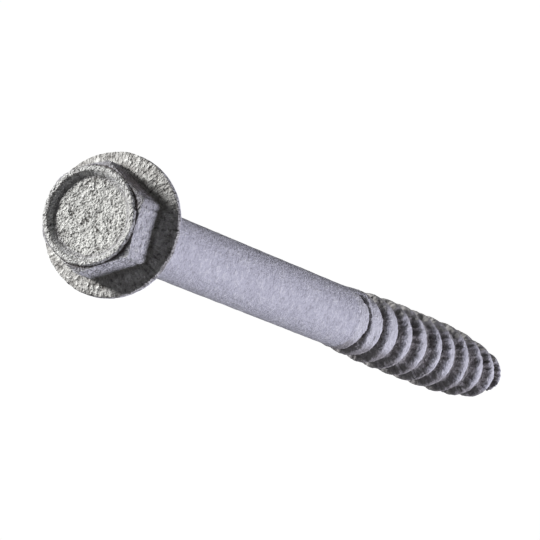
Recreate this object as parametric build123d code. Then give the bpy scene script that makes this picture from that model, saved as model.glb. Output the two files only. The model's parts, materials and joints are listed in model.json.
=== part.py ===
"""Hex-flange connecting screw with a rolled coarse thread, forged and rolled as one piece.

The screw is drawn upright in its own frame: the bearing face lies at z = 0, the head is below
it and the shank runs up +Z to the tip. At the end it is laid down as it rests, on the edge of
its flange and on its thread, with the tip toward +X. All sizes are in millimetres.
"""
import os
from math import atan, atan2, ceil, cos, degrees, hypot, radians, sqrt, tan

from build123d import *

# Shank
length_under_head = 147.0
shank_diameter = 9.8
under_head_fillet = 0.6

# Head: hexagon on a round flange, with a shallow cup in its top
across_flats = 15.0
hexagon_turn = 33.0  # degrees, from the groove's start to a corner
head_height = 9.2
hex_edge_rounding = 0.9
hex_foot_fillet = 0.7
flange_diameter = 21.5
flange_edge_thickness = 1.3
flange_slope = 17.0  # degrees, top of the flange
flange_edge_bevel = 0.3
rim_diameter = 14.3
rim_height = 0.3  # how far the rim round the cup stands above the hexagon's top
rim_side_slope = 20.0  # degrees from upright
corner_chamfer = 30.0  # degrees, from the rim's foot down to the hexagon's corners
cup_mouth_diameter = 13.1
cup_depth = 1.25
cup_wall_slope = 30.0  # degrees from upright
cup_rounding = 0.35

# Thread: the shank swells to crest size while one right-hand groove is rolled into it
crest_diameter = 11.4
pitch = 6.5
swell_start = 82.5
swell_length = 22.0
swell_steps = 3
groove_depth = 1.25
groove_floor_width = 1.3
groove_flank = 48.0  # degrees, each side leans away from upright by this much
groove_lead = 1.3  # from the start of the swell to the middle of the groove's first section
groove_start_depth = 0.2
groove_fade_turns = 2.0
cutter_overlap = 0.6  # how far the groove's cutter stands out of the crests

# Tip: the last turns curve in to a blunt end
taper_length = 24.0
taper_steps = 4
tip_diameter = 7.6
tip_rounding = 1.5

# Rest: how far the screw is turned about its axis as it lies; at 180 the groove starts on top
rest_roll = 190.0


def head_blank():
    """Hexagon and flange in one, with the rim raised round the cup and the corners chamfered below it."""
    flange_radius = flange_diameter / 2
    rim_radius = rim_diameter / 2
    rim_foot_radius = rim_radius + rim_height * tan(radians(rim_side_slope))
    slope_rise = flange_radius * tan(radians(flange_slope))
    chamfer_drop = (flange_radius - rim_foot_radius) * tan(radians(corner_chamfer))
    cup_mouth_radius = cup_mouth_diameter / 2
    cup_floor_radius = cup_mouth_radius - cup_depth * tan(radians(cup_wall_slope))

    flange_outline = [
        (0, 0),
        (flange_radius, 0),
        (flange_radius, -flange_edge_thickness),
        (0, -flange_edge_thickness - slope_rise),
    ]
    flange = turned(flange_outline)
    flange = chamfer(flange.edges().filter_by(GeomType.CIRCLE), flange_edge_bevel)

    six_sides = RegularPolygon(across_flats / 2, 6, major_radius=False, rotation=hexagon_turn)
    hexagon = extrude(six_sides, -head_height)
    hexagon = fillet(hexagon.edges().filter_by(Axis.Z), hex_edge_rounding)
    chamfer_outline = [
        (0, 0),
        (flange_radius, 0),
        (flange_radius, rim_height + chamfer_drop - head_height),
        (rim_foot_radius, rim_height - head_height),
        (rim_radius, -head_height),
        (0, -head_height),
    ]
    hexagon &= turned(chamfer_outline)

    blank = flange + hexagon
    foot_height = flange_edge_thickness + slope_rise
    foot = blank.edges().filter_by(lambda edge: is_foot(edge, foot_height))
    blank = fillet(foot, hex_foot_fillet)

    cup_outline = [
        (0, -head_height),
        (cup_mouth_radius, -head_height),
        (cup_floor_radius, cup_depth - head_height),
        (0, cup_depth - head_height),
    ]
    cup = turned(cup_outline)
    cup = fillet(cup.edges().group_by(Axis.Z)[-1], cup_rounding)
    return blank - cup


def is_foot(edge, foot_height):
    """True for the edges where the hexagon stands on the flange's sloping top."""
    middle = edge.center()
    inside_flange = hypot(middle.X, middle.Y) < across_flats / 2 + hex_foot_fillet * 2
    return -foot_height < middle.Z < -flange_edge_thickness and inside_flange


def turned(outline):
    """A solid of revolution about Z from a closed outline of (radius, height) points."""
    return revolve(Plane.XZ * make_face(Polyline(outline, close=True)), Axis.Z)


def shank_blank():
    """Shank, swell, thread cylinder and blunt tip as one turned solid, before the groove."""
    shank_radius = shank_diameter / 2
    taper_start = length_under_head - taper_length
    swell = [swell_start + swell_length * step / swell_steps for step in range(swell_steps + 1)]
    taper = [taper_start + taper_length * step / taper_steps for step in range(taper_steps + 1)]
    outline = [(crest_radius_at(height), height) for height in swell + taper]
    outline += [(0, length_under_head), (0, -flange_edge_thickness), (shank_radius, -flange_edge_thickness)]
    blank = turned(outline)
    return fillet(blank.edges().group_by(Axis.Z)[-1], tip_rounding)


def arc_drop(length, drop, distance):
    """The drop, at a distance along, of an arc that leaves a line on a tangent and ends at length, drop."""
    arc_radius = (length**2 + drop**2) / (2 * drop)
    return arc_radius - sqrt(arc_radius**2 - distance**2)


def crest_radius_at(height):
    """The crests' radius at a height: along the swell, the thread cylinder or the taper."""
    below = max(0, swell_start + swell_length - height)
    above = max(0, height - (length_under_head - taper_length))
    swell_drop = arc_drop(swell_length, (crest_diameter - shank_diameter) / 2, below)
    taper_drop = arc_drop(taper_length, (crest_diameter - tip_diameter) / 2, above)
    return crest_diameter / 2 - swell_drop - taper_drop


def groove_section(turn):
    """The groove's section a number of turns on, as four (radius, height) corners from root to mouth."""
    faded_in = min(turn / groove_fade_turns, 1)
    depth = groove_start_depth + (groove_depth - groove_start_depth) * faded_in
    height = swell_start + groove_lead + turn * pitch
    outer_radius = crest_radius_at(height) + cutter_overlap
    root_radius = crest_radius_at(height) - depth
    half_floor = groove_floor_width / 2
    half_mouth = half_floor + (outer_radius - root_radius) * tan(radians(groove_flank))
    return [
        (root_radius, height - half_floor),
        (root_radius, height + half_floor),
        (outer_radius, height + half_mouth),
        (outer_radius, height - half_mouth),
    ]


def one_turn_helix(start, end):
    """One right-hand turn from a (radius, height) point to the next, on a cylinder or a cone."""
    rise = end[1] - start[1]
    cone = degrees(atan2(end[0] - start[0], rise))
    return Edge.make_helix(rise / cos(radians(cone)), rise, start[0], (0, 0, start[1]), angle=cone)


def groove_cutters():
    """The groove, turn by turn: four helices joined by ruled faces and closed at both ends."""
    turns = ceil((length_under_head - swell_start - groove_lead) / pitch)
    for turn in range(turns + 1):
        corners = zip(groove_section(turn), groove_section(turn + 1))
        helices = [one_turn_helix(start, end) for start, end in corners]
        sides = [Face.make_surface_from_curves(helices[i - 1], helices[i]) for i in range(4)]
        caps = [Face(Wire.make_polygon([helix @ place for helix in helices])) for place in (0, 1)]
        yield Solid(Shell(sides + caps))


def screw_upright():
    """The whole screw in its own frame, one solid."""
    screw = shank_blank()
    for cutter in groove_cutters():
        screw -= cutter
    screw += head_blank()
    under_head = screw.edges().filter_by(GeomType.CIRCLE).filter_by(
        lambda edge: abs(edge.center().Z) < 0.01 and abs(edge.radius - shank_diameter / 2) < 0.01
    )
    return fillet(under_head, under_head_fillet)


def rest_tilt():
    """The axis's fall toward the tip, in degrees, lying on the flange's edge and the last full crest."""
    run = length_under_head - taper_length + flange_edge_bevel
    return degrees(atan((flange_diameter - crest_diameter) / 2 / run))


def laid_down(screw):
    """The screw at rest: tip toward +X, lowest points at z = 0, box centred on the origin."""
    screw = screw.rotate(Axis.Z, rest_roll).rotate(Axis.Y, 90 + rest_tilt())
    box = screw.bounding_box()
    return Pos(-box.center().X, -box.center().Y, -box.min.Z) * screw


def main():
    """Build the screw and write it out."""
    os.makedirs("parts", exist_ok=True)
    screw = laid_down(screw_upright())
    screw.label = "connecting_screw"
    export_step(screw, "parts/connecting_screw.step")


main()
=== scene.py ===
import json
from collections import namedtuple
from math import ceil, cos, hypot, pi, radians, sin, sqrt, tan

import bpy
from mathutils import Matrix, Vector


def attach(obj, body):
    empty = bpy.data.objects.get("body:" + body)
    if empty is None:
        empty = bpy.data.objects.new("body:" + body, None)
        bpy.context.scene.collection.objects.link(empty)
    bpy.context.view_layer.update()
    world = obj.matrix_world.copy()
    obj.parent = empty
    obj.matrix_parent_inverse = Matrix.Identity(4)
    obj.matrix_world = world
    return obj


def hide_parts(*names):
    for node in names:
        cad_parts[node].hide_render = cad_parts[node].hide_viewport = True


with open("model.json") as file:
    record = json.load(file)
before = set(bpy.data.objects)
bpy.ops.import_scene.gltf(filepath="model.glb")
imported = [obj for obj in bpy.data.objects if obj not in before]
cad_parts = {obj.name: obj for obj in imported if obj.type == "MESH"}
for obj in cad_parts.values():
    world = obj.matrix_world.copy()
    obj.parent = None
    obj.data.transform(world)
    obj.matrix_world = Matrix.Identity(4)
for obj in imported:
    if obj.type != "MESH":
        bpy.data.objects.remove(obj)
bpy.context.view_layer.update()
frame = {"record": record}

# The screw is drawn upright in millimetres, bearing face at height 0 and head below it, and is then
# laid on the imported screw's own axis. Angles are in degrees, and sides of the screw are counted round the
# axis from the groove's start.
MM = 0.001

# Head
ACROSS_FLATS = 15.0
HEXAGON_TURN = 33.0
HEX_EDGE_ROUNDING = 0.9
HEX_FOOT_FILLET = 0.45
HEAD_HEIGHT = 9.2
RIM_RADIUS = 7.2
RIM_HEIGHT = 0.7
RIM_SIDE_SLOPE = 18.0
CORNER_CHAMFER = 40.0
CHAMFER_SPREAD = 20.0  # the punch sat off centre, so the corners filled unevenly
BEST_FILLED = 63.0
FLAT_PAINTED_SHADE = 0.85  # one side of the hexagon, the flat that faces up, is painted darker than the rest as shade
SHADED_SIDE = 3.0
SHADE_FALLOFF = 5
CUP_MOUTH_RADIUS = 6.55
CUP_DEPTH = 1.25
CUP_WALL_SLOPE = 30.0
FLANGE_RADIUS = 10.75
FLANGE_EDGE = 1.3
FLANGE_SLOPE = 17.0
FLANGE_ROUNDING = 0.3
STREAKS_PER_RADIUS = 26.0  # so a streak is about 0.4 mm wide at the flange's edge
STREAK_STRETCH = 0.03  # per millimetre of radius, so a streak is about 1.3 mm long

# Shank and thread
SHANK_RADIUS = 4.9
CREST_RADIUS = 5.7
LENGTH = 147.0
SWELL_START = 82.5
SWELL_LENGTH = 22.0
TAPER_LENGTH = 24.0
TIP_RADIUS = 3.8
TIP_CORNER_RADIUS = 3.92
TIP_CORNER_DEPTH = 1.2
TIP_ROUNDING = 1.35
UNDER_HEAD_FILLET = 0.6
PITCH = 6.5
GROOVE_START = 83.8
GROOVE_ROLL = 10.0  # from the top of the lying screw to the groove's start

# How finely the blank is divided
AROUND = 240
THREAD_ROW = 0.36
CRACK_ROW = 0.2  # finer where the groove begins as a crack
CRACK_START = 80.5
CRACK_END = 92.0
TIP_ARC_STEPS = 9
TIP_FACE_STEPS = 10

# What the groove's tree is given: lengths in millimetres, shares, and how steeply a change sets in
ROLLING = {
    "Pitch": PITCH,
    "Groove start": GROOVE_START,
    "Groove depth": 1.2,
    "Depth at start": 1.15,
    "Fade-in turns": 1.2,
    "Mouth reach": 0.75,
    "Flank run": 1.3,
    "Crest wander": 2.4,
    "Crest rounding": 0.1,
    "Crest run": 0.7,
    # the side of the thread whose crests get a painted highlight
    "Lit side": radians(60.0),
    "Narrowing": 1.5,
    "Narrowest crest": 1.3,
    "Crack turns": 0.2,
    "Dull edge": 0.88,
    "Dull ramp": 4.0,
    "Shallower when dull": 0.3,
    "Dull fade-in": 2.0,
    "Darker half": 0.65,
    "Darker ramp": 1.5,
    "Darker level": 0.5,
    "Crest shine": 0.6,
    "Lip width": 0.4,
    "Lip dimming": 0.6,
    "Shade over shine": 0.8,
    "Wear size": 2.2,
    "Wear height": 0.8,
    "Edge wear": 0.8,
    "Ragged edge": 2.0,
    "Ragged size": 0.9,
    "Swell size": 2.0,
    "Swell height": 0.9,
    "Swell ramp": 8.0,
    "Lump size": 1.0,
    "Lump height": 0.3,
    "Grain share": 0.45,
    "Grain height": 0.18,
    "Coat level": 0.38,
    "Seed": 3.0,
}

# No two crests of the worn thread are alike. Along ten turns, counted from 0 to 1, the groove strays to one
# side or the other of 0.5, and its mouth widens and narrows.
CURVE_TURNS = 10.0
STRAY = [
    (0, 0.5), (0.01, 0.7), (0.02, 0.88), (0.035, 0.7), (0.06, 0.55), (0.12, 0.6), (0.22, 0.58), (0.32, 0.4),
    (0.42, 0.56), (0.52, 0.2), (0.62, 0.19), (0.72, 0.3), (0.82, 0.65), (0.92, 0.7), (1, 0.6),
]
MOUTH = [
    (0, 0.04), (0.02, 0.18), (0.035, 0.35), (0.06, 0.33), (0.12, 0.27), (0.22, 0.38), (0.32, 0.44),
    (0.42, 0.5), (0.52, 0.41), (0.62, 0.47), (0.72, 0.52), (0.82, 0.5), (0.92, 0.47), (1, 0.43),
]
# The groove's flank, from its mouth to its floor
SECTION = [(0, 0), (0.15, 0.1), (0.5, 0.56), (0.85, 0.93), (1, 1)]

# Sizes in the zinc coat, in metres: faint patches, pebbles, fine grain, the spacing of scratches, how near a
# wall has to be for a hollow to be painted darker as shade, and how deep the bumps look
PATCH_SIZE = 4.0 * MM
PEBBLE_SIZE = 1.1 * MM
GRAIN_SIZE = 0.38 * MM  # finer on the real coat, and drawn coarse enough to show
SCRATCH_SPACING = 5.0 * MM
HOLLOW_REACH = 1.6 * MM
RELIEF_DEPTH = 1.3 * MM  # deeper than the real coat, so that its pebbles show

# Camera, in metres, degrees and millimetres
CAMERA_PLACE = (-0.7829, -0.3597, 0.1036)
CAMERA_TURN = (82.831, -29.947, -61.296)
LENS = 370.9
SENSOR = 36.0
VIEW_DEPTH = 200.0

# Floor and world, in metres and shares of white
FLOOR_HALF = 30.0
FLOOR_GLOW_SEEN = 0.98
FLOOR_GLOW_UNSEEN = 0.08
WORLD_ON_SCREW = 0.06


def linear(hex_colour):
    """An sRGB hex colour as the linear values that a shader takes."""
    parts = [int(hex_colour[i : i + 2], 16) / 255 for i in (1, 3, 5)]
    return [p / 12.92 if p <= 0.04045 else ((p + 0.055) / 1.055) ** 2.4 for p in parts] + [1.0]


def add(tree, kind, inputs=(), **settings):
    """Adds a node, sets its properties, and fills its inputs, in order or by name.

    An input takes a value, another node's output, or a node, which stands for its first output.
    """
    node = tree.nodes.new(kind)
    for name, value in settings.items():
        setattr(node, name, value)
    places = inputs.items() if isinstance(inputs, dict) else enumerate(inputs)
    for place, value in places:
        source = value.outputs[0] if isinstance(value, bpy.types.Node) else value
        if isinstance(source, bpy.types.NodeSocket):
            tree.links.new(source, node.inputs[place])
        else:
            node.inputs[place].default_value = source
    return node


# ---------------------------------------------------------------- the turned and forged blank

# A corner of the half section: where it is, its rounding, the steps round it and along the run after it,
# how heavily the zinc lies, how brown and dark the corner and the run are (partly stain, partly painted shade
# in inner corners and on the up-facing flat), how streaked, and how bright it is rubbed
Corner = namedtuple(
    "Corner",
    "radius height rounding arc_steps run_steps coat stain run_stain streak rubbed",
    defaults=(0, 0, 0, 0),
)


def hexagon_radius(angle):
    """Distance from the axis to the hexagon's side or rounded corner, at an angle in radians."""
    sixth = pi / 3
    off_corner = (angle - radians(HEXAGON_TURN) + sixth / 2) % sixth - sixth / 2
    centre = (ACROSS_FLATS / 2 - HEX_EDGE_ROUNDING) / cos(pi / 6)
    side = ACROSS_FLATS / 2 / cos(sixth / 2 - abs(off_corner))
    inside = HEX_EDGE_ROUNDING**2 - (centre * sin(off_corner)) ** 2
    if inside <= 0:
        return side
    return min(side, centre * cos(off_corner) + sqrt(inside))


def arc_drop(length, drop, distance):
    """Drop at a distance along an arc that leaves a line on a tangent."""
    arc_radius = (length**2 + drop**2) / (2 * drop)
    return arc_radius - sqrt(arc_radius**2 - distance**2)


def crest_radius(height):
    """Radius of the blank along the shank, the swell, the thread and the taper."""
    if height < SWELL_START:
        return SHANK_RADIUS
    below = max(0, SWELL_START + SWELL_LENGTH - height)
    above = max(0, height - (LENGTH - TAPER_LENGTH))
    swell = arc_drop(SWELL_LENGTH, CREST_RADIUS - SHANK_RADIUS, below)
    return CREST_RADIUS - swell - arc_drop(TAPER_LENGTH, CREST_RADIUS - TIP_RADIUS, above)


def outline(angle):
    """Corners of the half section at an angle in radians, from the cup's centre to the thread's start."""
    hexagon = hexagon_radius(angle)
    top = -HEAD_HEIGHT
    cup_floor = CUP_DEPTH - HEAD_HEIGHT
    floor_radius = CUP_MOUTH_RADIUS - CUP_DEPTH * tan(radians(CUP_WALL_SLOPE))
    rim_base = RIM_HEIGHT - HEAD_HEIGHT
    rim_foot = RIM_RADIUS + RIM_HEIGHT * tan(radians(RIM_SIDE_SLOPE))
    chamfer = CORNER_CHAMFER - CHAMFER_SPREAD * cos(angle - radians(BEST_FILLED))
    hex_top = rim_base + (hexagon - rim_foot) * tan(radians(chamfer))
    hex_foot = -FLANGE_EDGE - (FLANGE_RADIUS - hexagon) * tan(radians(FLANGE_SLOPE))
    # painted shade: the up-facing flat is darkened with the brown stain colour
    flat_shade = FLAT_PAINTED_SHADE * max(0, cos(angle - radians(SHADED_SIDE))) ** SHADE_FALLOFF
    return [
        Corner(0, cup_floor, 0, 0, 28, coat=1.0),
        Corner(floor_radius, cup_floor, 0.35, 4, 4, coat=0.85, stain=0.4, run_stain=0.2),
        Corner(CUP_MOUTH_RADIUS, top, 0.3, 5, 1, coat=1.4, stain=0.3, rubbed=0.5),
        Corner(RIM_RADIUS, top, 0.3, 5, 2, coat=1.4, stain=0.1, rubbed=0.5),
        # painted shade: the rim's foot is darkened fully, standing for the bead's shade on the hexagon's
        # corners
        Corner(rim_foot, rim_base, 0.05, 2, 3, coat=0.7, stain=1.0, run_stain=0.45),
        Corner(hexagon, hex_top, 0.12, 3, 16, coat=0.78, stain=0.1 + flat_shade, run_stain=flat_shade, rubbed=0.5),
        Corner(hexagon, hex_foot, HEX_FOOT_FILLET, 6, 16, coat=0.9, stain=0.3, run_stain=0.1, streak=1.0),
        Corner(FLANGE_RADIUS, -FLANGE_EDGE, FLANGE_ROUNDING, 4, 2, coat=0.9, stain=0.2, streak=1.0),
        Corner(FLANGE_RADIUS, 0, FLANGE_ROUNDING, 4, 8, coat=0.5, stain=0.2),
        Corner(SHANK_RADIUS, 0, UNDER_HEAD_FILLET, 5, 44, coat=0.5),
        Corner(SHANK_RADIUS, CRACK_START, 0, 0, 0, coat=0.5),
    ]


def round_corner(before, corner, after, rounding, steps):
    """Points of an arc that rounds a corner between two straight runs."""
    back = (before - corner).normalized()
    onward = (after - corner).normalized()
    half = back.angle(onward) / 2
    reach = rounding / tan(half)
    centre = corner + (back + onward).normalized() * (rounding / sin(half))
    first = corner + back * reach - centre
    last = corner + onward * reach - centre
    spread = first.angle(last)
    return [
        centre + (first * sin(spread * (1 - i / steps)) + last * sin(spread * i / steps)) / sin(spread)
        for i in range(steps + 1)
    ]


def half_section(angle):
    """Points along the half section at an angle, from the cup's centre to the tip's, and their finishes."""
    corners = outline(angle)
    places = [Vector((corner.radius, corner.height)) for corner in corners]
    arcs = [[place] for place in places]
    for i, corner in enumerate(corners):
        if corner.arc_steps:
            arcs[i] = round_corner(places[i - 1], places[i], places[i + 1], corner.rounding, corner.arc_steps)
    points = []
    finishes = []
    for i, (corner, arc) in enumerate(zip(corners, arcs)):
        points += arc
        finishes += [(corner.coat, corner.stain, corner.streak, corner.rubbed)] * len(arc)
        if i + 1 < len(arcs):
            start, end = arc[-1], arcs[i + 1][0]
            points += [start.lerp(end, step / corner.run_steps) for step in range(1, corner.run_steps)]
            finishes += [(corner.coat, corner.run_stain, corner.streak, 0)] * (corner.run_steps - 1)

    thread_end = LENGTH - TIP_CORNER_DEPTH
    for start, end, row in ((CRACK_START, CRACK_END, CRACK_ROW), (CRACK_END, thread_end, THREAD_ROW)):
        rows = ceil((end - start) / row)
        heights = [start + (end - start) * i / rows for i in range(1, rows + 1)]
        points += [Vector((crest_radius(height), height)) for height in heights]
    tip_corner = Vector((TIP_CORNER_RADIUS, LENGTH))
    tip_centre = Vector((0, LENGTH))
    tip = round_corner(points[-1], tip_corner, tip_centre, TIP_ROUNDING, TIP_ARC_STEPS)
    points += tip[1:]
    points += [tip[-1].lerp(tip_centre, i / TIP_FACE_STEPS) for i in range(1, TIP_FACE_STEPS + 1)]
    thread_finish = (0.6, 0, 0, 0)
    finishes += [thread_finish] * (len(points) - len(finishes))
    return points, finishes


def spoke_of(vertex):
    """The direction from the axis to a vertex, and a slower third value that grows with its distance."""
    radius = max(hypot(vertex[0], vertex[1]), 0.01)
    return vertex[0] / radius, vertex[1] / radius, radius * STREAK_STRETCH


def screw_blank():
    """The whole blank as one closed mesh of rings, with its finish kept on its points."""
    columns = []
    finishes = []
    for i in range(AROUND):
        angle = 2 * pi * i / AROUND
        points, along = half_section(angle)
        columns.append([(p.x * cos(angle), p.x * sin(angle), p.y) for p in points])
        finishes.append(along)
    rings = len(columns[0])
    vertices = [columns[0][0]]
    for ring in range(1, rings - 1):
        vertices += [column[ring] for column in columns]
    vertices.append(columns[0][-1])
    faces = []
    for i in range(AROUND):
        after = (i + 1) % AROUND
        faces.append((0, 1 + after, 1 + i))
        for ring in range(rings - 3):
            here = 1 + ring * AROUND
            faces.append((here + i, here + after, here + AROUND + after, here + AROUND + i))
        end = 1 + (rings - 3) * AROUND
        faces.append((end + i, end + after, len(vertices) - 1))
    mesh = bpy.data.meshes.new("screw_blank")
    mesh.from_pydata(vertices, [], faces)
    mesh.polygons.foreach_set("use_smooth", [True] * len(mesh.polygons))
    for share, name in enumerate(("coat", "stain", "streak", "rubbed")):
        inner = [finishes[i][ring][share] for ring in range(1, rings - 1) for i in range(AROUND)]
        attribute = mesh.attributes.new(name, "FLOAT", "POINT")
        attribute.data.foreach_set("value", [finishes[0][0][share]] + inner + [finishes[0][-1][share]])
    spoke = mesh.attributes.new("spoke", "FLOAT_VECTOR", "POINT")
    spoke.data.foreach_set("vector", [part for vertex in vertices for part in spoke_of(vertex)])
    return mesh


# ---------------------------------------------------------------- the groove, rolled in by rule


def set_curve(node, places):
    """Gives a float curve its points, from (place, value) pairs that it holds between 0 and 1."""
    curve = node.mapping.curves[0]
    node.mapping.use_clip = False
    while len(curve.points) < len(places):
        curve.points.new(0.5, 0.5)
    for point, place in zip(curve.points, places):
        point.location = place
        point.handle_type = "AUTO"
    node.mapping.update()


def nearest_turn(tree, given, place, wear):
    """How far round a place is, how many turns into the groove, and how far off the groove's middle."""
    axes = add(tree, "ShaderNodeSeparateXYZ", (place,)).outputs
    turn = add(tree, "ShaderNodeMath", (axes[1], axes[0]), operation="ARCTAN2")
    turn = add(tree, "ShaderNodeMath", (turn, 2 * pi), operation="DIVIDE")
    turn = add(tree, "ShaderNodeMath", (turn, 1.0), operation="ADD")
    turn = add(tree, "ShaderNodeMath", (turn,), operation="FRACT")
    from_start = add(tree, "ShaderNodeMath", (axes[2], given["Groove start"]), operation="SUBTRACT")

    curve_length = add(tree, "ShaderNodeMath", (given["Pitch"], CURVE_TURNS), operation="MULTIPLY")
    share = add(tree, "ShaderNodeMath", (from_start, curve_length), operation="DIVIDE", use_clamp=True)
    stray = add(tree, "ShaderNodeFloatCurve", {"Value": share})
    set_curve(stray, STRAY)
    aside = add(tree, "ShaderNodeMath", (stray, 0.5), operation="SUBTRACT")
    aside = add(tree, "ShaderNodeMath", (aside, given["Crest wander"]), operation="MULTIPLY")
    worn = add(tree, "ShaderNodeMath", (wear, 0.5), operation="SUBTRACT")
    worn = add(tree, "ShaderNodeMath", (worn, given["Edge wear"]), operation="MULTIPLY")
    aside = add(tree, "ShaderNodeMath", (aside, worn), operation="ADD")

    along = add(tree, "ShaderNodeMath", (from_start, aside), operation="SUBTRACT")
    along = add(tree, "ShaderNodeMath", (along, given["Pitch"]), operation="DIVIDE")
    along = add(tree, "ShaderNodeMath", (along, turn), operation="SUBTRACT")
    whole = add(tree, "ShaderNodeMath", (along,), operation="ROUND")
    turns_in = add(tree, "ShaderNodeMath", (whole, turn), operation="ADD")
    offset = add(tree, "ShaderNodeMath", (along, whole), operation="SUBTRACT")
    offset = add(tree, "ShaderNodeMath", (offset, given["Pitch"]), operation="MULTIPLY")
    return turn, turns_in, offset


def groove_mouth(tree, given, turns_in, tipward, facing, ragged):
    """Half the groove's width at the crests' height: wide crests on the lit side, narrow on the other."""
    share = add(tree, "ShaderNodeMath", (turns_in, CURVE_TURNS), operation="DIVIDE", use_clamp=True)
    mouth = add(tree, "ShaderNodeFloatCurve", {"Value": share})
    set_curve(mouth, MOUTH)
    reach = add(tree, "ShaderNodeMath", (given["Pitch"], given["Mouth reach"]), operation="MULTIPLY")
    half = add(tree, "ShaderNodeMath", (mouth, reach), operation="MULTIPLY")

    turned_away = add(tree, "ShaderNodeMath", (1.0, facing), operation="SUBTRACT")
    narrowing = add(tree, "ShaderNodeMath", (turned_away, given["Narrowing"]), operation="MULTIPLY")
    past_crack = add(tree, "ShaderNodeMath", (turns_in, given["Crack turns"]), operation="SUBTRACT")
    past_crack.use_clamp = True
    narrowing = add(tree, "ShaderNodeMath", (narrowing, past_crack), operation="MULTIPLY")
    room = add(tree, "ShaderNodeMath", (given["Pitch"], given["Narrowest crest"]), operation="SUBTRACT")
    room = add(tree, "ShaderNodeMath", (room, 0.5), operation="MULTIPLY")
    half = add(tree, "ShaderNodeMath", (half, narrowing), operation="ADD")
    half = add(tree, "ShaderNodeMath", (half, room), operation="MINIMUM")

    # the crests' edges toward the head are ragged
    bite = add(tree, "ShaderNodeMath", (ragged, 0.5), operation="SUBTRACT")
    bite = add(tree, "ShaderNodeMath", (bite, given["Ragged edge"]), operation="MULTIPLY")
    bite = add(tree, "ShaderNodeMath", (bite, tipward), operation="MULTIPLY")
    return add(tree, "ShaderNodeMath", (half, bite), operation="ADD")


def dull_sides(tree, given, turns_in, round_angle, facing):
    """How far the thread turns from the lit side, and how much of that lies on its lower side, which is
    painted darker as shade.
    """
    away_from_light = add(tree, "ShaderNodeMath", (given["Dull edge"], facing), operation="SUBTRACT")
    away_from_light = add(tree, "ShaderNodeMath", (away_from_light, given["Dull ramp"]), operation="MULTIPLY", use_clamp=True)
    past_start = add(tree, "ShaderNodeMath", (turns_in, given["Dull fade-in"]), operation="MULTIPLY")
    past_start.use_clamp = True
    away_from_light = add(tree, "ShaderNodeMath", (away_from_light, past_start), operation="MULTIPLY")
    # painted shade: the thread's lower side is darker
    darker_half = add(tree, "ShaderNodeMath", (round_angle,), operation="SINE")
    darker_half = add(tree, "ShaderNodeMath", (darker_half, given["Darker ramp"]), operation="MULTIPLY")
    darker_half = add(tree, "ShaderNodeMath", (darker_half, given["Darker level"]), operation="ADD")
    darker_half.use_clamp = True
    underside_shade = add(tree, "ShaderNodeMath", (away_from_light, darker_half), operation="MULTIPLY")
    underside_shade = add(tree, "ShaderNodeMath", (underside_shade, given["Darker half"]), operation="MULTIPLY")
    return away_from_light, underside_shade


def groove_share(tree, given, inward, half_mouth, begun):
    """How far down the groove's section a place is, from 0 on a crest to 1 on the groove's floor."""
    flank_run = add(tree, "ShaderNodeMath", (given["Flank run"], half_mouth), operation="MINIMUM")
    share = add(tree, "ShaderNodeMath", (inward, flank_run), operation="DIVIDE", use_clamp=True)
    section = add(tree, "ShaderNodeFloatCurve", {"Value": share})
    set_curve(section, SECTION)
    return add(tree, "ShaderNodeMath", (section, begun), operation="MULTIPLY")


def groove_depth(tree, given, turns_in, sunk, dull):
    """Depth of the groove alone: it starts a little shallow, and the dull side is partly filled."""
    faded_in = add(tree, "ShaderNodeMath", (turns_in, given["Fade-in turns"]), operation="DIVIDE")
    faded_in.use_clamp = True
    gain = add(tree, "ShaderNodeMath", (given["Groove depth"], given["Depth at start"]), operation="SUBTRACT")
    gain = add(tree, "ShaderNodeMath", (faded_in, gain), operation="MULTIPLY")
    deepest = add(tree, "ShaderNodeMath", (given["Depth at start"], gain), operation="ADD")
    filled = add(tree, "ShaderNodeMath", (dull, given["Shallower when dull"]), operation="MULTIPLY")
    open_share = add(tree, "ShaderNodeMath", (1.0, filled), operation="SUBTRACT")
    depth = add(tree, "ShaderNodeMath", (sunk, deepest), operation="MULTIPLY")
    return add(tree, "ShaderNodeMath", (depth, open_share), operation="MULTIPLY")


def crest_wear(tree, given, turns_in, inward, tipward, begun, wear):
    """What is worn off the crests: they are rounded over, but the shank ends in a sharp lip at the groove."""
    outward_run = add(tree, "ShaderNodeMath", (inward, -1.0), operation="MULTIPLY")
    from_edge = add(tree, "ShaderNodeMath", (outward_run, given["Crest run"]), operation="DIVIDE")
    from_edge.use_clamp = True
    from_top = add(tree, "ShaderNodeMath", (1.0, from_edge), operation="SUBTRACT")
    in_groove = add(tree, "ShaderNodeMath", (inward, 0.0), operation="GREATER_THAN")
    past_lip = add(tree, "ShaderNodeMath", (turns_in, 1.0), operation="GREATER_THAN")
    domed = add(tree, "ShaderNodeMath", (in_groove, tipward), operation="MAXIMUM")
    domed = add(tree, "ShaderNodeMath", (domed, past_lip), operation="MAXIMUM")
    domed = add(tree, "ShaderNodeMath", (domed, begun), operation="MULTIPLY")
    rounding = add(tree, "ShaderNodeMath", (domed, given["Crest rounding"]), operation="MULTIPLY")
    fall = add(tree, "ShaderNodeMath", (from_top, from_top), operation="MULTIPLY")
    fall = add(tree, "ShaderNodeMath", (fall, rounding), operation="MULTIPLY")
    worn = add(tree, "ShaderNodeMath", (wear, 0.5), operation="SUBTRACT")
    worn = add(tree, "ShaderNodeMath", (worn, 0.0), operation="MAXIMUM")
    worn = add(tree, "ShaderNodeMath", (worn, given["Wear height"]), operation="MULTIPLY")
    worn = add(tree, "ShaderNodeMath", (worn, begun), operation="MULTIPLY")
    return fall, worn


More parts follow.
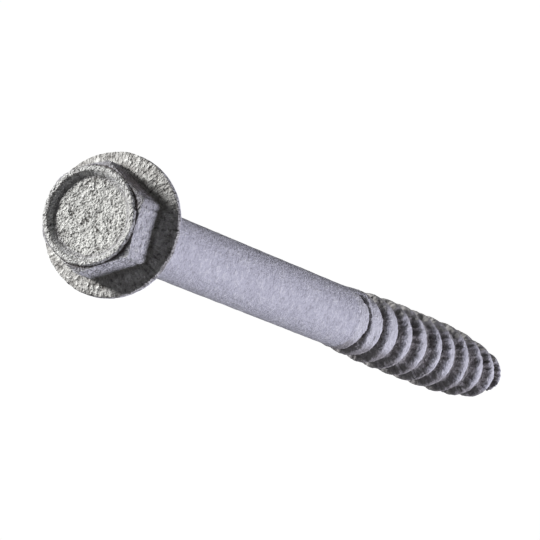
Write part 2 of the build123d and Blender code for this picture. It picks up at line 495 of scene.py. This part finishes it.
def crest_shine(tree, given, inward, tipward, away_from_light, underside_shade, begun):
    """Painted highlight on the crests: over their tops on the lit side, and most of all in a line along their
    edge toward the tip.
    """
    from_edge = add(tree, "ShaderNodeMath", (inward,), operation="ABSOLUTE")
    from_edge = add(tree, "ShaderNodeMath", (from_edge, given["Lip width"]), operation="DIVIDE")
    lip = add(tree, "ShaderNodeMath", (1.0, from_edge), operation="SUBTRACT", use_clamp=True)
    dimming = add(tree, "ShaderNodeMath", (tipward, given["Lip dimming"]), operation="MULTIPLY")
    dimming = add(tree, "ShaderNodeMath", (1.0, dimming), operation="SUBTRACT")
    lip = add(tree, "ShaderNodeMath", (lip, dimming), operation="MULTIPLY")
    on_lit_side = add(tree, "ShaderNodeMath", (1.0, away_from_light), operation="SUBTRACT")
    top = add(tree, "ShaderNodeMath", (on_lit_side, given["Crest shine"]), operation="MULTIPLY")
    on_crest = add(tree, "ShaderNodeMath", (inward, 0.0), operation="LESS_THAN")
    top = add(tree, "ShaderNodeMath", (on_crest, top), operation="MULTIPLY")
    shine = add(tree, "ShaderNodeMath", (lip, top), operation="MAXIMUM")
    shaded_off = add(tree, "ShaderNodeMath", (underside_shade, given["Shade over shine"]), operation="MULTIPLY")
    unshaded = add(tree, "ShaderNodeMath", (1.0, shaded_off), operation="SUBTRACT")
    shine = add(tree, "ShaderNodeMath", (shine, unshaded), operation="MULTIPLY")
    return add(tree, "ShaderNodeMath", (shine, begun), operation="MULTIPLY")


def coat_thinning(tree, given, lumps, grain, swell):
    """How far the coat falls below its highest lumps, with broader swells where it lies as in the cup."""
    coat = add(tree, "GeometryNodeInputNamedAttribute", {"Name": "coat"}, data_type="FLOAT")
    lumps = add(tree, "ShaderNodeMath", (lumps, given["Coat level"]), operation="SUBTRACT")
    lumps = add(tree, "ShaderNodeMath", (lumps, given["Lump height"]), operation="MULTIPLY")
    grain = add(tree, "ShaderNodeMath", (grain, given["Coat level"]), operation="SUBTRACT")
    grain = add(tree, "ShaderNodeMath", (grain, given["Grain height"]), operation="MULTIPLY")
    thinned = add(tree, "ShaderNodeMath", (lumps, grain), operation="ADD")
    thinned = add(tree, "ShaderNodeMath", (thinned, coat), operation="MULTIPLY")

    off_cup = add(tree, "ShaderNodeMath", (coat, 1.0), operation="SUBTRACT")
    off_cup = add(tree, "ShaderNodeMath", (off_cup,), operation="ABSOLUTE")
    off_cup = add(tree, "ShaderNodeMath", (off_cup, given["Swell ramp"]), operation="MULTIPLY")
    in_cup = add(tree, "ShaderNodeMath", (1.0, off_cup), operation="SUBTRACT", use_clamp=True)
    swell = add(tree, "ShaderNodeMath", (swell, 0.5), operation="SUBTRACT")
    swell = add(tree, "ShaderNodeMath", (swell, given["Swell height"]), operation="MULTIPLY")
    swell = add(tree, "ShaderNodeMath", (swell, in_cup), operation="MULTIPLY")
    return add(tree, "ShaderNodeMath", (thinned, swell), operation="ADD")


def rolled_groove():
    """A tree that rolls one right-hand groove into the blank and lays the coat's lumps over it."""
    tree = bpy.data.node_groups.new("rolled_groove", "GeometryNodeTree")
    tree.interface.new_socket("Screw", in_out="OUTPUT", socket_type="NodeSocketGeometry")
    tree.interface.new_socket("Blank", in_out="INPUT", socket_type="NodeSocketGeometry")
    for name, value in ROLLING.items():
        socket = tree.interface.new_socket(name, in_out="INPUT", socket_type="NodeSocketFloat")
        socket.default_value = value
    tree.interface.new_socket("Finish", in_out="INPUT", socket_type="NodeSocketMaterial")
    given = tree.nodes.new("NodeGroupInput").outputs

    # one noise at five sizes: wear on the thread, its ragged edges, and the coat's lumps, grain and swells
    place = add(tree, "GeometryNodeInputPosition")
    seeded = add(tree, "ShaderNodeCombineXYZ", (given["Seed"],))
    shifted = add(tree, "ShaderNodeVectorMath", (place, seeded), operation="ADD")
    grain_size = add(tree, "ShaderNodeMath", (given["Lump size"], given["Grain share"]), operation="MULTIPLY")
    sizes = (
        (given["Wear size"], 2.0),
        (given["Ragged size"], 2.0),
        (given["Lump size"], 2.0),
        (grain_size, 1.0),
        (given["Swell size"], 1.0),
    )
    noises = []
    for size, detail in sizes:
        scale = add(tree, "ShaderNodeMath", (1.0, size), operation="DIVIDE")
        links = {"Vector": shifted, "Scale": scale, "Detail": detail, "Roughness": 0.55}
        noises.append(add(tree, "ShaderNodeTexNoise", links))
    wear, ragged, lumps, grain, swell = noises

    turn, turns_in, offset = nearest_turn(tree, given, place, wear)
    begun = add(tree, "ShaderNodeMath", (turns_in, 0.0), operation="GREATER_THAN")
    tipward = add(tree, "ShaderNodeMath", (offset, 0.0), operation="GREATER_THAN")
    round_angle = add(tree, "ShaderNodeMath", (turn, 2 * pi), operation="MULTIPLY")
    round_angle = add(tree, "ShaderNodeMath", (round_angle, given["Lit side"]), operation="SUBTRACT")
    facing = add(tree, "ShaderNodeMath", (round_angle,), operation="COSINE")

    half_mouth = groove_mouth(tree, given, turns_in, tipward, facing, ragged)
    off_middle = add(tree, "ShaderNodeMath", (offset,), operation="ABSOLUTE")
    inward = add(tree, "ShaderNodeMath", (half_mouth, off_middle), operation="SUBTRACT")
    away_from_light, underside_shade = dull_sides(tree, given, turns_in, round_angle, facing)
    dull = add(tree, "ShaderNodeMath", (away_from_light, underside_shade), operation="SUBTRACT")
    sunk = groove_share(tree, given, inward, half_mouth, begun)
    depth = groove_depth(tree, given, turns_in, sunk, dull)
    fall, worn = crest_wear(tree, given, turns_in, inward, tipward, begun, wear)
    depth = add(tree, "ShaderNodeMath", (depth, fall), operation="ADD")
    depth = add(tree, "ShaderNodeMath", (depth, worn), operation="ADD")

    # the material reads these from the mesh
    # this attribute carries rubbed edges on the head and the painted highlight on the crests
    rubbed = add(tree, "GeometryNodeInputNamedAttribute", {"Name": "rubbed"}, data_type="FLOAT")
    shine = crest_shine(tree, given, inward, tipward, away_from_light, underside_shade, begun)
    rubbed = add(tree, "ShaderNodeMath", (rubbed, shine), operation="ADD")
    # the groove share, partly dirt and partly painted shade, together with the painted shade on the thread's
    # lower side
    groove_and_underside_shade = add(tree, "ShaderNodeMath", (sunk, underside_shade), operation="MAXIMUM")
    shape = given["Blank"]
    for name, value in (("groove", groove_and_underside_shade), ("rubbed", rubbed), ("dull", dull)):
        links = {"Geometry": shape, "Name": name, "Value": value}
        shape = add(tree, "GeometryNodeStoreNamedAttribute", links, domain="POINT", data_type="FLOAT")

    outward = add(tree, "ShaderNodeVectorMath", (place, (1, 1, 0)), operation="MULTIPLY")
    outward = add(tree, "ShaderNodeVectorMath", (outward,), operation="NORMALIZE")
    inset = add(tree, "ShaderNodeMath", (depth, -1.0), operation="MULTIPLY")
    rolled = add(tree, "ShaderNodeVectorMath", {0: outward, "Scale": inset}, operation="SCALE")
    shape = add(tree, "GeometryNodeSetPosition", {"Geometry": shape, "Offset": rolled})

    thinned = coat_thinning(tree, given, lumps, grain, swell)
    normal = add(tree, "GeometryNodeInputNormal")
    inset = add(tree, "ShaderNodeMath", (thinned, -1.0), operation="MULTIPLY")
    uneven = add(tree, "ShaderNodeVectorMath", {0: normal, "Scale": inset}, operation="SCALE")
    shape = add(tree, "GeometryNodeSetPosition", {"Geometry": shape, "Offset": uneven})
    shape = add(tree, "GeometryNodeRealizeInstances", {"Geometry": shape})
    shape = add(tree, "GeometryNodeSetMaterial", {"Geometry": shape, "Material": given["Finish"]})
    add(tree, "NodeGroupOutput", (shape,))
    return tree


def placing():
    """The matrix that lays the upright screw, drawn in millimetres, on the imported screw's axis."""
    mounts = {mount["name"]: mount for mount in frame["record"]["mounts"]}
    axis = Vector(mounts["thread"]["axis"]).normalized()
    on_axis = Vector(mounts["hex_drive"]["pos_m"])
    on_face = Vector(mounts["bearing_face"]["pos_m"])
    origin = on_axis + axis * (on_face - on_axis).dot(axis)
    up = Vector((0, 0, 1))
    up = (up - axis * up.dot(axis)).normalized()
    roll = radians(GROOVE_ROLL)
    across = up * cos(roll) + axis.cross(up) * sin(roll)
    turned = Matrix((across, axis.cross(across), axis)).transposed().to_4x4()
    return Matrix.Translation(origin) @ turned @ Matrix.Scale(MM, 4)


def finished_screw(finish):
    """Rolls the blank, bakes it to a plain mesh and lays it in place."""
    blank = bpy.data.objects.new("blank", screw_blank())
    bpy.context.scene.collection.objects.link(blank)
    roller = blank.modifiers.new("roller", "NODES")
    roller.node_group = rolled_groove()
    for item in roller.node_group.interface.items_tree:
        if item.in_out == "INPUT" and item.name == "Finish":
            roller[item.identifier] = finish
    seen = blank.evaluated_get(bpy.context.evaluated_depsgraph_get())
    mesh = bpy.data.meshes.new_from_object(seen)
    mesh.name = "zinc_coated_screw"
    mesh.transform(placing())
    bpy.data.objects.remove(blank)
    screw = bpy.data.objects.new("zinc_coated_screw", mesh)
    bpy.context.scene.collection.objects.link(screw)
    return screw


# ---------------------------------------------------------------- finishes


def tumbled_zinc():
    """Steel under a tumbled zinc coat.

    To the eye it is matt and pebbly: lavender grey and nearly even on the shank and the hexagon's flats, with
    one flat painted darker as shade; whiter where the coat lies heavily in the cup and on the flange, which
    is partly painted light; painted shade in the creases between pebbles and painted glints on their tops;
    brownish and darker in corners, hollows and the groove, partly stain and dirt and partly painted shade; a
    flat grey painted on the thread's side turned from the light; and bright where the rim is rubbed, with a
    painted highlight on the crests' lit side.
    """
    finish = bpy.data.materials.new("tumbled_zinc_on_steel")
    finish.use_nodes = True
    tree = finish.node_tree
    tree.nodes.clear()
    spot = add(tree, "ShaderNodeTexCoord").outputs["Object"]
    names = ("groove", "rubbed", "dull", "coat", "stain", "streak")
    kept = [add(tree, "ShaderNodeAttribute", attribute_name=name).outputs["Fac"] for name in names]
    groove, rubbed, dull, coat, stain, streak = kept

    noises = []
    for size, detail, roughness in ((PATCH_SIZE, 2.0, 0.5), (PEBBLE_SIZE, 3.0, 0.6), (GRAIN_SIZE, 2.0, 0.6)):
        links = {"Vector": spot, "Scale": 1 / size, "Detail": detail, "Roughness": roughness}
        noises.append(add(tree, "ShaderNodeTexNoise", links))
    patches, pebbles, grain = noises

    # streaks run out along the flange's radius
    spoke = add(tree, "ShaderNodeAttribute", attribute_name="spoke").outputs["Vector"]
    links = {"Vector": spoke, "Scale": STREAKS_PER_RADIUS, "Detail": 2.0, "Roughness": 0.6}
    spokes = add(tree, "ShaderNodeTexNoise", links)
    streaked = add(tree, "ShaderNodeMath", (streak, 0.65), operation="MULTIPLY")
    ridges = add(tree, "ShaderNodeMix", {"Factor": streaked, 2: grain, 3: spokes})
    height = add(tree, "ShaderNodeMath", (pebbles, ridges), operation="ADD")

    # the coat is rough where it is heavy and in the groove, and smoother where it is rubbed, under the
    # crests' painted highlight, and on the thread's side away from the light
    rough = add(tree, "ShaderNodeMapRange", (coat, 0.4, 1.0, 0.2, 1.0))
    groove_rough = add(tree, "ShaderNodeMath", (groove, 0.8), operation="MULTIPLY")
    rough = add(tree, "ShaderNodeMath", (rough, groove_rough), operation="MAXIMUM")
    less_bump_where_bright = add(tree, "ShaderNodeMapRange", (rubbed, 0.5, 1.0, 1.0, 0.55))
    rough = add(tree, "ShaderNodeMath", (rough, less_bump_where_bright), operation="MULTIPLY")
    less_dull = add(tree, "ShaderNodeMapRange", (dull, 0.0, 1.0, 1.0, 0.25))
    rough = add(tree, "ShaderNodeMath", (rough, less_dull), operation="MULTIPLY")

    # a few long scratches, painted shade in the creases between the pebbles, and painted glints on their tops
    links = {"Vector": spot, "Scale": 1 / SCRATCH_SPACING, "Randomness": 1.0}
    cells = add(tree, "ShaderNodeTexVoronoi", links, feature="DISTANCE_TO_EDGE").outputs["Distance"]
    scratch = add(tree, "ShaderNodeMapRange", (cells, 0.012, 0.035, 1, 0))
    some = add(tree, "ShaderNodeMapRange", (patches, 0.45, 0.6, 0, 1))
    scratch = add(tree, "ShaderNodeMath", (scratch, some), operation="MULTIPLY")
    scratch = add(tree, "ShaderNodeMath", (scratch, coat), operation="MULTIPLY")
    # painted shade in the creases between pebbles, joined with the real scratches
    scratches_and_crease_shade = add(tree, "ShaderNodeMapRange", (height, 0.76, 0.94, 1, 0))
    scratches_and_crease_shade = add(tree, "ShaderNodeMath", (scratches_and_crease_shade, scratch), operation="MAXIMUM")
    # painted glints on the pebbles' tops
    peak_glints = add(tree, "ShaderNodeMapRange", (height, 1.03, 1.2, 0, 1))

    # how much of each colour is laid over those before it
    patchy = add(tree, "ShaderNodeMapRange", (patches, 0.3, 0.7, 0, 1))
    # partly painted light: the heavy coat on the cup and flange is laid over with a warm white that stands
    # for the key lamp on the head's face
    heavy_coat_and_head_light = add(tree, "ShaderNodeMapRange", (coat, 0.7, 1.0, 0, 0.85))
    streaks = add(tree, "ShaderNodeMath", (streak, 0.6), operation="MULTIPLY")
    marked = add(tree, "ShaderNodeMath", (rough, 0.9), operation="MULTIPLY")
    laid_crease_shade_and_scratches = add(tree, "ShaderNodeMath", (scratches_and_crease_shade, marked), operation="MULTIPLY")
    laid_peak_glints = add(tree, "ShaderNodeMath", (peak_glints, marked), operation="MULTIPLY")
    # painted shade: the thread's side turned from the light is laid over with a flat grey
    away_from_light = add(tree, "ShaderNodeMath", (dull, 0.8), operation="MULTIPLY")
    # the groove is painted darker, partly as dirt and partly as painted shade
    rolled = add(tree, "ShaderNodeMapRange", (groove, 0.05, 0.5, 0, 0.85))
    less_dull = add(tree, "ShaderNodeMapRange", (dull, 0, 1, 1, 0.35))
    rolled = add(tree, "ShaderNodeMath", (rolled, less_dull), operation="MULTIPLY")
    # dimmer painted glints on bumps in the groove
    groove_peak_glints = add(tree, "ShaderNodeMath", (peak_glints, groove), operation="MULTIPLY")
    groove_peak_glints = add(tree, "ShaderNodeMath", (groove_peak_glints, 0.5), operation="MULTIPLY")
    # painted shade: hollows near a wall are darkened by their ambient occlusion
    openness = add(tree, "ShaderNodeAmbientOcclusion", {"Distance": HOLLOW_REACH}, samples=8).outputs["AO"]
    painted_hollow_shade = add(tree, "ShaderNodeMapRange", (openness, 0.9, 0.45, 0, 0.85))
    less_dull = add(tree, "ShaderNodeMapRange", (dull, 0.0, 1.0, 1.0, 0.15))
    painted_hollow_shade = add(tree, "ShaderNodeMath", (painted_hollow_shade, less_dull), operation="MULTIPLY")
    # brown stain, partly real and partly painted shade in inner corners, along the cup's wall and on the
    # up-facing flat
    stained_and_shaded = add(tree, "ShaderNodeMath", (stain, pebbles), operation="MULTIPLY")
    stained_and_shaded = add(tree, "ShaderNodeMapRange", (stained_and_shaded, 0.1, 0.4, 0, 0.9))
    # painted highlight on the crests' lit side, and real rubbed wear on the head's rim and edges
    painted_highlight_and_wear = add(tree, "ShaderNodeMapRange", (rubbed, 0.2, 1.0, 0, 0.8))
    layers = (
        (patchy, "#cacad3"),
        (heavy_coat_and_head_light, "#f0f0ed"),
        (streaks, "#a09d98"),
        (laid_crease_shade_and_scratches, "#4a4542"),
        (laid_peak_glints, "#fafaf8"),
        (away_from_light, "#a8a6a4"),
        (rolled, "#85807f"),
        (groove_peak_glints, "#c4c2c2"),
        (painted_hollow_shade, "#4d4642"),
        (stained_and_shaded, "#4a413e"),
        (painted_highlight_and_wear, "#ebebee"),
    )
    colour = linear("#bcbcc6")
    for share, hex_colour in layers:
        links = {"Factor": share, 6: colour, 7: linear(hex_colour)}
        colour = add(tree, "ShaderNodeMix", links, data_type="RGBA").outputs[2]

    relief = add(tree, "ShaderNodeBump", {"Height": height, "Strength": rough, "Distance": RELIEF_DEPTH})
    links = {
        "Base Color": colour,
        "Metallic": 0.0,
        "Roughness": 0.65,
        "Specular IOR Level": 0.1,
        "Normal": relief,
    }
    surface = add(tree, "ShaderNodeBsdfPrincipled", links)
    add(tree, "ShaderNodeOutputMaterial", {"Surface": surface})
    return finish


def paper_white():
    """The floor: a pale matt sheet that shows white to the eye and in reflections, with its shadow kept."""
    finish = bpy.data.materials.new("pale_matt_sheet")
    finish.use_nodes = True
    tree = finish.node_tree
    tree.nodes.clear()
    matt = add(tree, "ShaderNodeBsdfDiffuse", {"Color": linear("#808080")})
    rays = add(tree, "ShaderNodeLightPath").outputs
    seen = add(tree, "ShaderNodeMath", (rays["Is Camera Ray"], rays["Is Glossy Ray"]), operation="MAXIMUM")
    seen = add(tree, "ShaderNodeMath", (seen, rays["Is Transmission Ray"]), operation="MAXIMUM")
    strength = add(tree, "ShaderNodeMapRange", (seen, 0.0, 1.0, FLOOR_GLOW_UNSEEN, FLOOR_GLOW_SEEN))
    glow = add(tree, "ShaderNodeEmission", {"Strength": strength})
    both = add(tree, "ShaderNodeAddShader", (matt, glow))
    add(tree, "ShaderNodeOutputMaterial", {"Surface": both})
    return finish


# ---------------------------------------------------------------- floor, light and camera


def floor():
    """A large flat floor under the screw."""
    mesh = bpy.data.meshes.new("floor")
    corners = [(x * FLOOR_HALF, y * FLOOR_HALF, 0) for x, y in ((-1, -1), (1, -1), (1, 1), (-1, 1))]
    mesh.from_pydata(corners, [], [(0, 1, 2, 3)])
    mesh.materials.append(paper_white())
    sheet = bpy.data.objects.new("floor", mesh)
    bpy.context.scene.collection.objects.link(sheet)
    sheet.visible_shadow = False  # the lower half of the low soft lamps isn't cut off


def lamp(name, towards, strength, spread, tint):
    """A distant soft lamp that stands in the given direction from the screw."""
    light = bpy.data.lights.new(name, "SUN")
    light.energy = strength
    light.angle = radians(spread)
    light.color = tint
    holder = bpy.data.objects.new(name, light)
    holder.rotation_euler = Vector(towards).to_track_quat("Z", "Y").to_euler()
    bpy.context.scene.collection.objects.link(holder)


def studio():
    """Two soft lamps and a plain world that is white to the eye and dim on the screw."""
    lamp("key_by_the_head", (-0.70, 0.70, 0.03), strength=4.8, spread=13, tint=(1.0, 1.0, 0.98))
    lamp("broad_by_the_tip", (0.577, -0.815, 0.063), strength=3.3, spread=30, tint=(0.88, 0.87, 1.0))
    world = bpy.data.worlds.new("plain_white")
    bpy.context.scene.world = world
    world.use_nodes = True
    tree = world.node_tree
    tree.nodes.clear()
    rays = add(tree, "ShaderNodeLightPath").outputs
    strength = add(tree, "ShaderNodeMapRange", (rays["Is Diffuse Ray"], 0.0, 1.0, 1.0, WORLD_ON_SCREW))
    sky = add(tree, "ShaderNodeBackground", {"Color": (1, 1, 1, 1), "Strength": strength})
    add(tree, "ShaderNodeOutputWorld", {"Surface": sky})


def camera():
    """A long lens near the floor, looking along the screw from its head, rolled a little."""
    lens = bpy.data.cameras.new("camera")
    lens.sensor_width = SENSOR
    lens.lens = LENS
    lens.clip_end = VIEW_DEPTH
    eye = bpy.data.objects.new("camera", lens)
    eye.location = CAMERA_PLACE
    eye.rotation_euler = [radians(turn) for turn in CAMERA_TURN]
    bpy.context.scene.collection.objects.link(eye)
    bpy.context.scene.camera = eye


bpy.context.scene.view_settings.view_transform = "Standard"
screw = finished_screw(tumbled_zinc())
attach(screw, "root")
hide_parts("connecting_screw")
floor()
studio()
camera()
